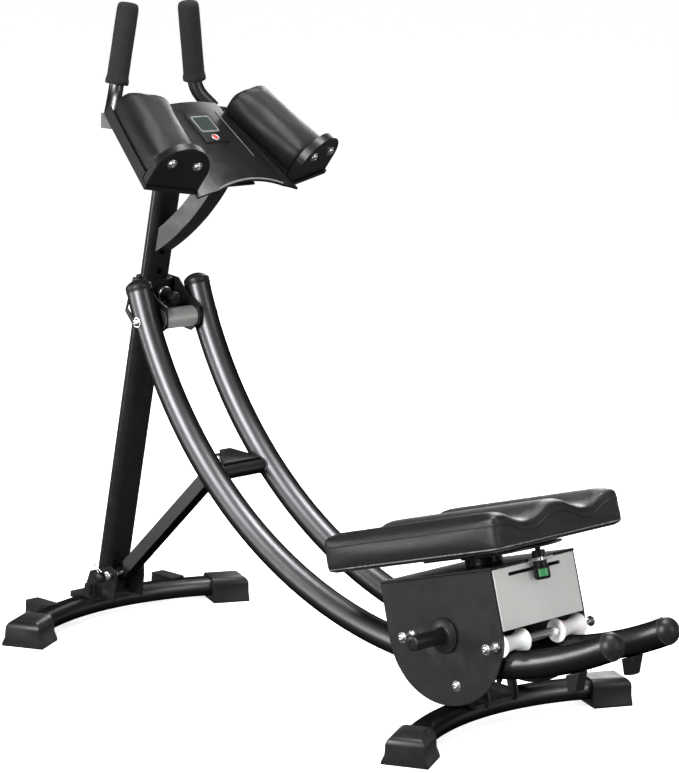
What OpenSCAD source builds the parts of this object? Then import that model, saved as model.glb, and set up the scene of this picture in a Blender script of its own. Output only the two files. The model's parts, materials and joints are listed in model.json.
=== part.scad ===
// Ab crunch machine: curved twin rails, rolling knee carriage, folding column, elbow head.
// Millimetres, +Z up. Inside the modules X is measured from the ends of the rear foot;
// placed() moves the origin to the middle of the footprint on the floor.

/* [Rails] */
// Radius of the rail centreline
rail_r = 834; // [800:1:860]
// Outside diameter of the rail tube
rail_od = 50; // [48:0.5:52]
// Distance of each rail from the middle plane
rail_y = 77; // [75:1:80]

/* [Feet] */
// Width of the flat-oval foot tube
foot_w = 52; // [48:1:54]
// Height of the flat-oval foot tube
foot_h = 38; // [36:1:40]
// Height of the foot tube's centre
foot_z = 28; // [27:1:30]

/* [Column] */
// Width of the flat-oval column, across the machine
col_w = 70; // [66:1:72]
// Depth of the flat-oval column
col_d = 35; // [34:1:38]

/* [Seat] */
// Width of the knee pad
seat_w = 354; // [330:2:370]
// Thickness of the knee pad
seat_t = 66; // [60:1:68]

/* [Colours] */
// Colour of the painted frame
paint = "#2b2b2d"; // [#2b2b2d:Gunmetal, #111111:Black]
// Colour of the rollers
nylon = "#ececea"; // [#ececea:White, #555555:Grey]

/* [Hidden] */
$fn = 64;
x_mid = 574.2;            // middle of the footprint
cx = 866;                 // centre of the rail arc
cz = 962;
rail_wall = 2.5;
t_top = 19.2;               // rail angles, from level at the rear, downwards
t_end = 117.6;
t_hinge = 23.5;
t_mid = 46.3;
in_y = rail_y - rail_od / 2;      // inner face of a rail
lean = 10.2;              // column lean, towards the seat
col_x0 = -89;             // column axis at floor level
bow_r = 518;              // radius of the feet in plan
bow_a = 26.5;             // half angle of the bow, and sweep of the end caps
cap_l = 77;
rear_x = -89;             // middle of the rear foot
front_x = 908;            // middle of the front foot
pin = [-36, 94];          // quick-release pin
lug = [246, 373];         // upper end of the strut
tilt = 16;                // tilt of carriage and seat
peg = [916, 181];         // middle of the weight peg
plate_y = 109;            // inner face of a side plate
plate_t = 5;
roll_a = [88.4, 102.4];   // rail angles of the upper axles
roll_r = rail_r - 38.9;   // radius of the upper axles
low_a = 95.4;
low_r = rail_r + 36;
waist = 13.6;             // roller radius where it runs on the rail
flange = 23.5;
low_waist = 10.7;
gap = 0.06;               // running fit, radial
seat_up = 33;             // underside of the pad above the side plates
axle_r = 5;
arm_a = 37;               // slope of the arm tray and the elbow pads
arm_o = [119, 1030];      // rear end of the pads' bases, on the middle plane
splay = 13;               // angle between an elbow pad and the middle plane

function on_rail(r, t) = [cx - r * cos(t), cz - r * sin(t)];
hinge = on_rail(rail_r, t_hinge);
mid = on_rail(rail_r, t_mid);

module placed() { translate([-x_mid, 0, 0]) children(); }
module both() { children(); mirror([0, 1, 0]) children(); }
module ring(r, wall) { difference() { circle(r); circle(r - wall); } }
module rod(r, y0, y1, p) {
  translate([p[0], y0, p[1]]) rotate([-90, 0, 0]) cylinder(r = r, h = y1 - y0);
}
// A 2D shape in X and Z, given thickness from y0 to y1
module slab(y0, y1) { translate([0, y1, 0]) rotate([90, 0, 0]) linear_extrude(y1 - y0) children(); }
module stadium(w, d) {
  square([w - d, d], center = true);
  for (s = [-1, 1]) translate([s * (w - d) / 2, 0]) circle(d / 2);
}
// Frame of the column: local Z along its axis, local X to the front
module on_column(h) {
  translate([col_x0, 0, 0]) rotate([0, lean, 0]) translate([0, 0, h]) children();
}
module oval_tube(w, d, wall, len) {
  linear_extrude(len) rotate(90) difference() {
    stadium(w, d);
    stadium(w - 2 * wall, d - 2 * wall);
  }
}
// A round tube bent about the Y axis through [px, pz]
module bent(p, y, r, a0, a1) {
  translate([p[0], y, p[1]]) rotate([90, 0, 0]) rotate([0, 0, a0])
    rotate_extrude(angle = a1 - a0, $fn = 96) translate([r, 0]) children();
}
module bolt_head(p, y, s, r = 8) {
  rod(r + 2, s > 0 ? y : y - 1.5, s > 0 ? y + 1.5 : y, p);
  intersection() {
    translate([p[0], y + s * (1.5 - r * 0.55), p[1]]) sphere(r * 1.25);
    rod(r, s > 0 ? y + 1.5 : y - 20, s > 0 ? y + 20 : y - 1.5, p);
  }
}

// ---- track ----
module rail(s) {
  color(paint) difference() {
    bent([cx, cz], s * rail_y, rail_r, 180 + t_top, 180 + t_end) ring(rail_od / 2, rail_wall);
    rod(6 + gap, s * rail_y - rail_od, s * rail_y + rail_od, hinge);
  }
}
module dome(r_ball) {
  intersection() {
    translate([0, 0, r_ball > rail_od / 2 + 1 ? -14 : 0]) sphere(r_ball);
    translate([0, 0, 0.05]) cylinder(r = rail_od / 2 + 0.6, h = 60);
  }
}
module rail_top_caps() {
  color("#1c1c1d") both() translate([on_rail(rail_r, t_top)[0], rail_y, on_rail(rail_r, t_top)[1]])
    rotate([0, -t_top, 0]) dome(34);
}
module rail_end_caps() {
  color("#1c1c1d") both() translate([on_rail(rail_r, t_end)[0], rail_y, on_rail(rail_r, t_end)[1]])
    rotate([0, 180 - t_end, 0]) dome(rail_od / 2);
}
module rail_bumpers() {
  r = rail_r + rail_od / 2 + 0.1;
  color("#1c1c1d") both() slab(rail_y - 12, rail_y + 12)
    polygon([on_rail(r, 110.6), on_rail(r, 112.8), [1193, 133], [1175, 130]]);
}
module mid_cross_tube() {
  color(paint) difference() {
    rod(14, -rail_y + 12, rail_y - 12, mid);
    rod(12, -rail_y, rail_y, mid);
    both() bent([cx, cz], rail_y, rail_r, 215, 240) circle(rail_od / 2 + 0.02);
  }
}
// Two cheeks for the strut's bolt, under a wing plate that reaches almost from rail to rail
module strut_lugs() {
  color("#202022") both() difference() {
    slab(17, 21) difference() {
      union() {
        translate(lug) circle(13);
        polygon([lug + [-4, -12.4], lug + [0, 13], [289, 373], [282, 346]]);
      }
      translate(mid) circle(14.02);
    }
    rod(5 + gap, 0, 40, lug);
  }
  color("#202022") translate([292, 0, 373.9]) rotate([0, 16, 0]) linear_extrude(4)
    polygon([[0, -50], [0, 50], [-52, 14], [-52, -14]]);
}
module strut_bolt() {
  color("silver") {
    rod(5, -21.05, 21.05, lug);
    for (s = [-1, 1]) bolt_head(lug, s * 21.05, s, 6.5);
  }
}
// The foot tube's solid, grown by g: a bow in plan with straight, swept ends
module foot_path(g, x) {
  translate([x + bow_r, 0, foot_z]) for (s = [0, 1]) mirror([0, s, 0]) rotate([0, 0, 180 - bow_a]) {
    rotate_extrude(angle = bow_a, $fn = 96) translate([bow_r, 0]) stadium(foot_w + 2 * g, foot_h + 2 * g);
    translate([bow_r, 0, 0]) rotate([90, 0, 0]) linear_extrude(cap_l - 8)
      stadium(foot_w + 2 * g, foot_h + 2 * g);
  }
}
module foot_tube(x) { difference() { foot_path(0, x); foot_path(-2, x); } }
// Cross-section of an end cap: flared sole, rounded top
module cap_section() {
  polygon([[-42.5, 0], [42.5, 0], [41.5, 6], [36, 18], [35, 34], [-35, 34], [-36, 18], [-41.5, 6]]);
  for (s = [-1, 1]) translate([s * 18, 34]) circle(17);
  translate([-18, 30]) square([36, 21]);
}
module foot_caps(x) {
  both() difference() {
    translate([x + bow_r, 0, 0]) rotate([0, 0, 180 - bow_a]) translate([bow_r, 0, 0])
      intersection() {
        rotate([90, 0, 0]) linear_extrude(cap_l) cap_section();
        rotate([90, 0, 90]) translate([0, 0, -50]) linear_extrude(100) difference() {
          translate([-cap_l, 0]) square([cap_l, 70]);
          translate([-cap_l - 1, 37.2]) difference() { square(15); translate([15, -1]) circle(14); }
        }
      }
    foot_path(0.05, x);
  }
}
cross_p = [916, 129];     // cross tube that carries the rails over the front foot
module front_bracket() {
  color("#202022") difference() {
    union() {
      both() slab(36, 41) difference() {
        polygon([[870, 42], [958, 42], [962, 56], [940, 134], [894, 134], [868, 58]]);
        for (k = [0, 1]) polygon([[894 + k * 26, 64], [914 + k * 26, 64], [904 + k * 26, 92]]);
      }
      translate([876, -62, foot_z + foot_h / 2 - 4]) cube([76, 124, 7]);
      rod(14, -rail_y + 12, rail_y - 12, cross_p);
    }
    foot_path(0.15, front_x);
    both() bent([cx, cz], rail_y, rail_r, 255, 300) circle(rail_od / 2 + 0.02);
  }
}
module pivot_bolt() {
  color("silver") {
    rod(6, -rail_y - rail_od / 2, rail_y + rail_od / 2, hinge);
    for (s = [-1, 1]) bolt_head(hinge, s * (rail_y + rail_od / 2 + 0.1), s, 8);
  }
}

// ---- column ----
col_foot = 44;            // start of the column along its own axis
col_top = 712;
module column_tube() {
  color(paint) difference() {
    on_column(col_foot) oval_tube(col_w, col_d, 2, col_top - col_foot);
    knob_axis() translate([0, 0, -8]) cylinder(r = 6 + gap, h = 20);
    foot_path(0.05, rear_x);
  }
}
module column_collar() {
  color("#1d1d1e") difference() {
    on_column(col_top - 66) oval_tube(col_w + 10, col_d + 10, 4.9, 68);
    knob_axis() translate([0, 0, -30]) cylinder(r = 8 + gap, h = 60);
  }
  color("#1d1d1e") difference() {
    knob_axis() translate([0, 0, 5.2]) cylinder(r = 14, h = 16);
    knob_axis() cylinder(r = 8 + gap, h = 60);
  }
}
module collar_bush() {
  color("#3a3a3a") difference() {
    on_column(col_top - 60) oval_tube(col_w - 4.1, col_d - 4.1, 0.9, 62);
    knob_axis() translate([0, 0, -30]) cylinder(r = 8 + gap, h = 60);
  }
}
// Axis of the height knob: out of the column's front, through the collar
module knob_axis() { on_column(col_top - 24) translate([col_d / 2, 0, 0]) rotate([0, 90, 0]) children(); }
module hinge_bracket() {
  color("#202022") difference() {
    both() slab(40.2, 44.2) difference() {
      polygon([[2, 634], [24, 704], [62, 700], [92, 668], [122, 655], [124, 616], [100, 600], [22, 612]]);
      polygon([[8, 640], [18, 668], [20, 628]]);
    }
    rod(20.05, -60, 60, hinge);
  }
  color("#202022") translate([64, -40.2, 622]) cube([5, 80.4, 30]);
}
module hinge_barrel() {
  color("#8d8c86") difference() { rod(20, -46, 46, hinge); rod(6 + gap, -60, 60, hinge); }
}
module barrel_rings() {
  color("#6b6a66") both() difference() { rod(20.6, 46.1, in_y - 0.5, hinge); rod(6 + gap, 0, 90, hinge); }
}
module rear_saddle() {
  color("#202022") difference() {
    union() {
      translate([-122, -70, foot_z + foot_h / 2 - 8]) cube([61, 140, 12]);
      both() slab(col_w / 2 + 0.1, col_w / 2 + 4.1)
        polygon([[-118, 42], [-26, 42], [-21, 84], [-22, 106], [-40, 112], [-98, 92]]);
      translate([-84, -54, 50]) cylinder(r = 9, h = 20);
    }
    on_column(0) linear_extrude(200) rotate(90) stadium(col_w + 0.04, col_d + 0.04);
    foot_path(0.05, rear_x);
    rod(4.5 + gap, -60, 60, pin);
  }
}
wheel_p = [-111, 24];
wheel_y = [160, 180];
wheel_r = 18;
module wheel_brackets() {
  color("#202022") both() difference() {
    union() {
      for (y = [wheel_y[0] - 6, wheel_y[1] + 2]) slab(y, y + 4)
        polygon([[-124, 18], [-97, 14], [-60, 30], [-60, 52], [-124, 52]]);
      translate([-124, wheel_y[0] - 6, 48]) cube([64, wheel_y[1] - wheel_y[0] + 12, 4]);
    }
    rod(4 + gap, 100, 300, wheel_p);
    foot_path(0.05, rear_x);
  }
}
module wheel_axles() {
  color("silver") both() {
    rod(4, wheel_y[0] - 7, wheel_y[1] + 6.2, wheel_p);
    bolt_head(wheel_p, wheel_y[1] + 6.2, 1, 5);
  }
}
module transport_wheel() {
  color("#161616") difference() {
    rod(wheel_r, wheel_y[0], wheel_y[1], wheel_p);
    rod(4 + gap, 100, 300, wheel_p);
  }
}
module lock_pin() {
  color("silver") { rod(4.5, -48, 44, pin); rod(9, -51, -46, pin); rod(3, -60, -51, pin); }
  color("#161616") rod(11, -74, -60, pin);
}

// ---- strut ----
module strut_tube() {
  a = atan2(lug[1] - pin[1], lug[0] - pin[0]);
  len = norm(lug - pin);
  color(paint) difference() {
    translate([pin[0], 0, pin[1]]) rotate([0, -a, 0]) difference() {
      union() {
        translate([-10, -15, -13]) cube([len - 8, 30, 26]);
        translate([len, 15, 0]) rotate([90, 0, 0]) cylinder(r = 13, h = 30);
        translate([len - 19, -15, -13]) cube([19, 30, 26]);
      }
      translate([14, -13, -11]) cube([len - 44, 26, 22]);
    }
    on_column(0) translate([-100, -60, 0]) cube([100 + col_d / 2 + 1.4, 120, 300]);
    rod(4.5 + gap, -60, 60, pin);
    translate([pin[0] - 5.4, -60, pin[1]]) cube([15.4, 120, 60]);
    rod(5 + gap, -60, 60, lug);
  }
}

// ---- head ----
post_w = col_w - 6.4;
post_d = col_d - 6.4;
module head_post() {
  color(paint) difference() {
    on_column(470) oval_tube(post_w, post_d, 2, 590);
    for (k = [0:3]) on_column(col_top - 24 - 40 + k * 40) rotate([0, 90, 0]) cylinder(r = 6.4, h = 40);
    arm_frame() translate([-200, -100, -18.1]) cube([400, 200, 300]);
  }
}
module height_knob() {
  color("#161616") knob_axis() {
    translate([0, 0, -2.9]) cylinder(r = 6, h = 26);
    translate([0, 0, 21.6]) cylinder(r = 12, h = 6);
    translate([0, 0, 27.6]) cylinder(r = 6, h = 7);
    translate([0, 0, 42]) sphere(11);
  }
}
// Curved tube that carries the front of the arm tray
brace_c = [-196, 1204];
brace_r = 500;
module head_brace() {
  color(paint) difference() {
    bent(brace_c, 0, brace_r, 296, 330) difference() {
      square([36, 42], center = true);
      square([31, 37], center = true);
    }
    on_column(400) linear_extrude(700) rotate(90) stadium(post_w + 0.04, post_d + 0.04);
    on_column(400) translate([-200, -100, 0]) cube([200, 200, 700]);
    arm_frame() translate([-300, -300, -18.1]) cube([700, 600, 300]);
  }
}
// Frame of the arm tray: local X down the slope, local Z out of its face
module arm_frame() { translate([arm_o[0], 0, arm_o[1]]) rotate([0, arm_a, 0]) children(); }
// Frame of an elbow pad: local X along the pad, from its rear end
pad_y0 = 135;
module on_pad(s) { arm_frame() translate([0, s * pad_y0, 0]) rotate([0, 0, s * splay]) children(); }
// Steel carrier: a plate on the post and the brace, arms under the pads, and a rear cross tube
module head_bracket() {
  color("#202022") difference() {
    union() {
      arm_frame() {
        translate([-30, -48, -18]) cube([222, 96, 4]);
        translate([30, -180, -18]) cube([30, 360, 8.9]);
        translate([140, -196, -18]) cube([30, 392, 8.9]);
      }
      translate([47.5, -152, 1001]) cube([28, 304, 28]);
    }
    on_column(400) linear_extrude(658) rotate(90) stadium(post_w + 0.04, post_d + 0.04);
  }
}
// Moulded tray: a crowned sheet with an arm trough along each side
crown_r = 400;
tray_h = 18.5;
tray_l = 231;
tray_t = 5;
pad_w = 110;
pad_h = 62;
pad_len = 186;
pad_r = 26;               // rounding of a pad's upper edges
module tray_plan() {
  polygon([[-7, -80], [tray_l - 7, -132], [tray_l - 7, 132], [-7, 80]]);
}
module arm_tray() {
  color("#1a1a1b") difference() {
    union() {
      intersection() {
        arm_frame() translate([-7, 0, tray_h - crown_r]) rotate([90, 0, 90])
          linear_extrude(tray_l) ring(crown_r, tray_t);
        arm_frame() translate([0, 0, -40]) linear_extrude(80) tray_plan();
      }
      both() {
        on_pad(1) translate([-4, -pad_w / 2 - 1, -9]) cube([pad_len + 24, pad_w + 5, 8.8]);
        on_pad(1) translate([-4, -pad_w / 2 - 4, -6]) cube([pad_len + 3, 3.6, 16]);
        on_pad(1) translate([-4, pad_w / 2 + 0.4, -6]) cube([pad_len + 3, 3.6, 20]);
      }
    }
    arm_frame() translate([tray_l + 322, 0, -60]) cylinder(r = 340, h = 120, $fn = 96);
    both() on_pad(1) translate([-0.3, -pad_w / 2 - 0.3, -0.3]) cube([pad_len + 40, pad_w + 0.6, 60]);
    counter_pocket(0.1);
  }
}
// Bent handle: down from the grip, outwards and forwards to the carrier's cross tube
handle_p = [36, 102, 1083];
handle_od = 28;
bend_r = 60;
bend_a = 40;
module on_handle() { translate(handle_p) rotate([9.2, 1.5, 0]) rotate([0, 0, -44]) children(); }
module handle(s) {
  color(paint) mirror([0, s < 0 ? 1 : 0, 0]) on_handle() {
    translate([0, 0, -2]) cylinder(d = handle_od, h = 152);
    translate([0, bend_r, 0]) rotate([0, 90, 0]) rotate([0, 0, -90])
      rotate_extrude(angle = bend_a) translate([bend_r, 0]) circle(d = handle_od + 0.3);
    translate([0, bend_r * (1 - cos(bend_a)), -bend_r * sin(bend_a)]) rotate([180 + bend_a, 0, 0])
      translate([0, 0, -2]) cylinder(d = handle_od, h = 30);
  }
}
module grip(s) {
  color("#141414") mirror([0, s < 0 ? 1 : 0, 0]) on_handle() difference() {
    cylinder(r = 21, h = 153);
    translate([0, 0, -1]) cylinder(d = handle_od + 0.1, h = 151.1);
  }
}
module pad_section() {
  translate([-pad_w / 2, 0]) square([pad_w, pad_h - pad_r]);
  translate([-pad_w / 2 + pad_r, 0]) square([pad_w - 2 * pad_r, pad_h]);
  for (s = [-1, 1]) translate([s * (pad_w / 2 - pad_r), pad_h - pad_r]) circle(pad_r);
}
module elbow_pad(s) {
  color("#1b1b1c") on_pad(s) rotate([90, 0, 90]) linear_extrude(pad_len) pad_section();
}
cap_t = 16;
bolt_h = 55;
module elbow_cap(s) {
  color("#151516") difference() {
    on_pad(s) translate([pad_len + 0.3, 0, 0]) rotate([90, 0, 90]) linear_extrude(cap_t) {
      translate([-58, 0]) square([116, 44]);
      intersection() { translate([0, 36]) circle(58); translate([-58, 20]) square([116, 90]); }
    }
    for (y = [-28, 28]) on_pad(s) translate([pad_len - 1, y, bolt_h]) rotate([0, 90, 0])
      cylinder(r = 5.05, h = 60);
  }
}
module elbow_screws() {
  color("silver") for (s = [-1, 1], y = [-28, 28]) on_pad(s) translate([pad_len + 1, y, bolt_h])
    rotate([0, 90, 0]) {
      cylinder(r = 5, h = 15.4);
      translate([0, 0, 15.4]) cylinder(r = 8.5, h = 1.5);
      intersection() { translate([0, 0, 12.9]) sphere(9); translate([0, 0, 16.9]) cylinder(r = 8, h = 9); }
    }
}
module counter_pocket(g) {
  arm_frame() translate([28 - g, -34 - g, 6]) cube([80 + 2 * g, 60 + 2 * g, 20]);
}
module counter_housing() {
  color("#101011") difference() {
    arm_frame() translate([28, -34, 6]) cube([80, 60, 13.6]);
    arm_frame() translate([36, -27, 14]) cube([44, 46, 10]);
    button_axis() translate([0, 0, -5.6]) cylinder(r = 5 + gap, h = 20);
  }
}
module button_axis() { arm_frame() translate([95, -4, 19.6]) children(); }
module counter_button() {
  color("#b01818") button_axis() translate([0, 0, -3]) cylinder(r = 5, h = 5);
}

// ---- carriage ----
// Frame of the carriage: origin on the peg axis, local X along the seat, local Z up from it
module on_carriage() { translate([peg[0], 0, peg[1]]) rotate([0, -tilt, 0]) children(); }
ell_a = 133;              // half axes of the lower outline
ell_b = 126;
deck_z = 102;             // top edge of the side plates
function lower_edge(n) = [for (i = [0:n]) [ell_a * cos(180 + 180 * i / n), ell_b * sin(180 + 180 * i / n)]];
module side_plate(s) {
  color("#3d3e40") difference() {
    translate([0, s > 0 ? 0 : -2 * plate_y - plate_t, 0]) on_carriage() slab(plate_y, plate_y + plate_t)
        polygon(concat([[-132, deck_z], [132, deck_z]], [for (p = lower_edge(40)) [-p[0], p[1]]]));
    for (t = roll_a) rod(axle_r + gap, -200, 200, on_rail(roll_r, t));
    rod(axle_r + gap, -200, 200, on_rail(low_r, low_a));
  }
}
module front_cross_plate() {
  color("#c8c8c5") on_carriage() difference() {
    translate([118, -plate_y + 0.1, -5]) cube([16, 2 * plate_y - 0.2, 107]);
    translate([116, -plate_y + 6, -7]) cube([15, 2 * plate_y - 12, 106]);
    translate([110, -70, 86]) cube([30, 140, 6]);
  }
}
module carriage_deck() {
  color("#202022") on_carriage() difference() {
    union() {
      translate([-132, -plate_y - plate_t, deck_z + 0.1]) cube([266, 2 * (plate_y + plate_t), 5]);
      translate([134, -17, deck_z + 0.1]) cube([32, 34, 5]);
      translate([knob_x, 0, deck_z + 5.1]) cylinder(r = 12, h = 12);
      translate([swivel_x, 0, deck_z + 5.1]) cylinder(r = 34, h = 12);
    }
    translate([swivel_x, 0, 60]) cylinder(r = 8 + gap, h = 90);
    translate([knob_x, 0, 60]) cylinder(r = 5 + gap, h = 90);
  }
}
module axles() {
  color("silver") for (t = roll_a) {
    rod(axle_r, -144, 144, on_rail(roll_r, t));
    for (s = [-1, 1]) {
      rod(8.5, s > 0 ? plate_y + plate_t : -plate_y - plate_t - 6,
          s > 0 ? plate_y + plate_t + 6 : -plate_y - plate_t, on_rail(roll_r, t));
      bolt_head(on_rail(roll_r, t), s * 143, s, 7.5);
    }
  }
  color("silver") for (t = roll_a) difference() {
    rod(8, -rail_y + 34, rail_y - 34, on_rail(roll_r, t));
    rod(axle_r + 0.02, -60, 60, on_rail(roll_r, t));
  }
}
module lower_studs() {
  color("silver") both() {
    rod(axle_r, rail_y - 33.6, plate_y + plate_t, on_rail(low_r, low_a));
    rod(8, rail_y - 33.6, rail_y - 31.4, on_rail(low_r, low_a));
    bolt_head(on_rail(low_r, low_a), plate_y + plate_t, 1, 7.5);
  }
}
module weight_pegs() {
  color("#1b1b1c") both() {
    rod(32, plate_y + plate_t + 0.05, plate_y + plate_t + 6, peg);
    rod(14, plate_y + plate_t + 6, plate_y + plate_t + 86, peg);
  }
}
// Waisted roller on the Y axis, its groove fitted to the rail tube
module roller(w, f, groove) {
  rotate([90, 0, 0]) difference() {
    cylinder(r = f, h = 62, center = true);
    rotate_extrude($fn = 96) translate([w + groove, 0]) circle(groove);
    cylinder(r = axle_r + gap, h = 80, center = true);
  }
}
module upper_roller(t, s) {
  p = on_rail(roll_r, t);
  color(nylon) translate([p[0], s * rail_y, p[1]]) roller(waist, flange, 59);
}
module lower_roller(s) {
  p = on_rail(low_r, low_a);
  color(nylon) translate([p[0], s * rail_y, p[1]]) roller(low_waist, 17, 80);
}

// ---- seat ----
board_z = deck_z + seat_up;
board_t = 9;
seat_len = 424;
seat_x0 = -208;           // rear end of the pad in the carriage frame
swivel_x = 20;            // swivel axis
knob_x = 149;             // index knob, in front of the cross plate
module swivel_plate() {
  color("#202022") on_carriage() {
    translate([swivel_x, 0, deck_z - 8]) cylinder(r = 8, h = 26);
    translate([swivel_x, 0, deck_z + 17.3]) cylinder(r = 40, h = 5.1);
    difference() {
      union() {
        translate([-70, -60, deck_z + 22.4]) cube([180, 120, 4]);
        translate([swivel_x, 0, deck_z + 22.4]) intersection() {
          cylinder(r = knob_x - swivel_x + 14, h = 4);
          translate([60, -90, 0]) cube([110, 180, 4]);
        }
      }
      for (a = [-25:12.5:25]) translate([swivel_x, 0, 60]) rotate([0, 0, a])
        translate([knob_x - swivel_x, 0, 0]) cylinder(r = 4.2, h = 90);
    }
    for (x = [-66, 62], y = [-58, 34])
      translate([x, y, deck_z + 26.4]) cube([24, 24, seat_up - 26.5]);
  }
}
module seat_board() {
  color("#141414") on_carriage()
    translate([seat_x0 + 16, -seat_w / 2 + 16, board_z]) cube([seat_len - 32, seat_w - 32, board_t]);
}
module seat_pad() {
  color("#3a3a39") on_carriage() difference() {
    translate([0, 0, board_z]) linear_extrude(seat_t) union() {
      translate([seat_x0, -seat_w / 2 + 20]) square([seat_len, seat_w - 40]);
      translate([seat_x0 + 20, -seat_w / 2]) square([seat_len - 40, seat_w]);
      for (x = [seat_x0 + 20, seat_x0 + seat_len - 20], y = [-1, 1])
        translate([x, y * (seat_w / 2 - 20)]) circle(20);
    }
    translate([seat_x0 + 15.9, -seat_w / 2 + 15.9, board_z - 1])
      cube([seat_len - 31.8, seat_w - 31.8, board_t + 1.1]);
    for (y = [-82, 82]) translate([seat_x0 - 1, y, board_z + seat_t + 118]) rotate([0, 90, 0])
      cylinder(r = 138, h = seat_len + 2, $fn = 96);
  }
}
module seat_knob() {
  color("#161616") on_carriage() translate([knob_x, 0, deck_z]) {
    translate([0, 0, -8]) cylinder(r = 5, h = 30);
    translate([0, 0, -34]) cylinder(r = 13, h = 33.8);
  }
}

placed() rail(1);  // rail_left
placed() rail(-1);  // rail_right
placed() rail_top_caps();
placed() rail_end_caps();
placed() rail_bumpers();
placed() mid_cross_tube();
placed() strut_lugs();
placed() strut_bolt();
placed() front_bracket();
placed() color(paint) foot_tube(front_x);  // front_foot_tube
placed() color("#262626") foot_caps(front_x);  // front_foot_caps
placed() pivot_bolt();
placed() column_tube();
placed() column_collar();
placed() collar_bush();
placed() hinge_bracket();
placed() hinge_barrel();
placed() barrel_rings();
placed() rear_saddle();
placed() color(paint) foot_tube(rear_x);  // rear_foot_tube
placed() color("#262626") foot_caps(rear_x);  // rear_foot_caps
placed() wheel_brackets();
placed() wheel_axles();
placed() transport_wheel();  // transport_wheel_left
placed() mirror([0, 1, 0]) transport_wheel();  // transport_wheel_right
placed() lock_pin();
placed() strut_tube();
placed() height_knob();
placed() head_post();
placed() head_brace();
placed() head_bracket();
placed() arm_tray();
placed() handle(1);  // handle_left
placed() handle(-1);  // handle_right
placed() grip(1);  // grip_left
placed() grip(-1);  // grip_right
placed() elbow_pad(1);  // elbow_pad_left
placed() elbow_pad(-1);  // elbow_pad_right
placed() elbow_cap(1);  // elbow_cap_left
placed() elbow_cap(-1);  // elbow_cap_right
placed() elbow_screws();
placed() counter_housing();
placed() counter_button();
placed() side_plate(1);  // side_plate_left
placed() side_plate(-1);  // side_plate_right
placed() front_cross_plate();
placed() carriage_deck();
placed() axles();
placed() lower_studs();
placed() weight_pegs();
placed() upper_roller(roll_a[1], 1);  // roller_front_left
placed() upper_roller(roll_a[1], -1);  // roller_front_right
placed() upper_roller(roll_a[0], 1);  // roller_rear_left
placed() upper_roller(roll_a[0], -1);  // roller_rear_right
placed() lower_roller(1);  // roller_lower_left
placed() lower_roller(-1);  // roller_lower_right
placed() swivel_plate();
placed() seat_board();
placed() seat_pad();
placed() seat_knob();
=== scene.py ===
"""Looks of the ab crunch machine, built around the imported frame. Metres in the row frame, +Z up.

Shapes are worked out in millimetres in the design's own fit frame, and ROW brings them to the row frame.
"""

import json
import math

import bmesh
import bpy
from mathutils import Matrix, Vector
from mathutils.bvhtree import BVHTree


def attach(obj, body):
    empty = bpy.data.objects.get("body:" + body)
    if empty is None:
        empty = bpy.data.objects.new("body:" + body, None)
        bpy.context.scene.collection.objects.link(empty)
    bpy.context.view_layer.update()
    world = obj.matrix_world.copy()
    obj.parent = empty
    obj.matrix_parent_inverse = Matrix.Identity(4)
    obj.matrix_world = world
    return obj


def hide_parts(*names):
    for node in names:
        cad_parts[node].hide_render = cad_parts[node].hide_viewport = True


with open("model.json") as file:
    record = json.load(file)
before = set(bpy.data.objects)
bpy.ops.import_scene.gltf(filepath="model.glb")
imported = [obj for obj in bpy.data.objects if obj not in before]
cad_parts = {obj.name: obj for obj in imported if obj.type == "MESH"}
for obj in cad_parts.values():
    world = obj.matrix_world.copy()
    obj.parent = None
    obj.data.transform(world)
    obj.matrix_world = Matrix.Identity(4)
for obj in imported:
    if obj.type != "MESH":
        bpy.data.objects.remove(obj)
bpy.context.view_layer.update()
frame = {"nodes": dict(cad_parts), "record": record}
record = frame["record"]
BODY = {n: b for b, nodes in record["behaviour"]["bodies"].items() for n in nodes}
SLOT = {s["node"]: s["material_slot"] for s in record["subparts"]}
SIDES = ((1, "left"), (-1, "right"))

# ---- driving dimensions, in millimetres ----
X_MID = 574.2
ARC_CENTRE = (866, 962)
RAIL_R, RAIL_Y, RAIL_OD = 834, 77, 50
LEAN, COLUMN_X, COLUMN_TOP, COLUMN_DEPTH = 10.2, -89, 712, 35
HINGE_ANGLE, MID_ANGLE, TOP_ANGLE, END_ANGLE = 23.5, 46.3, 19.2, 117.6
PIN, LUG, PEG, CROSS_TUBE = (-36, 94), (246, 373), (916, 181), (916, 129)
CROSS_TUBE_R = 14
TILT, ARM_SLOPE, ARM_ORIGIN, SPLAY, PAD_Y = 16, 37, (119, 1030), 13, 135
PAD_LENGTH, PAD_WIDTH, PAD_HEIGHT = 186, 110, 62
PLATE_OUT = 114
REAR_ANGLE, FRONT_ANGLE, UPPER_R = 88.4, 102.4, 795.1
LOWER_ANGLE, LOWER_R = 95.4, 870
DECK_Z, SEAT_Z, SEAT_LENGTH, SEAT_WIDTH, SEAT_THICK, SEAT_X0 = 102, 135, 424, 354, 66, -208
KNOB_X, WHEEL = 149, (-111, 24)
HEIGHT_KNOB_DROP = 24
BUTTON = (95, -4, 19.6)
HANDLE = (36, 102, 1083)

ROW = Matrix.Translation((-X_MID / 1000, 0, 0)) @ Matrix.Scale(0.001, 4)


def shift(x, y, z):
    return Matrix.Translation((x, y, z))


def turn(degrees, axis):
    return Matrix.Rotation(math.radians(degrees), 4, axis)


def on_rail(r, degrees):
    a = math.radians(degrees)
    return ARC_CENTRE[0] - r * math.cos(a), ARC_CENTRE[1] - r * math.sin(a)


def across(p, y=0.0, side=1):
    """Frame whose Z points out along Y on one side, at [x, z] = p."""
    return shift(p[0], side * y, p[1]) @ turn(-90 * side, "X")


CARRIAGE = shift(PEG[0], 0, PEG[1]) @ turn(-TILT, "Y")
ARM = shift(ARM_ORIGIN[0], 0, ARM_ORIGIN[1]) @ turn(ARM_SLOPE, "Y")


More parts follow.
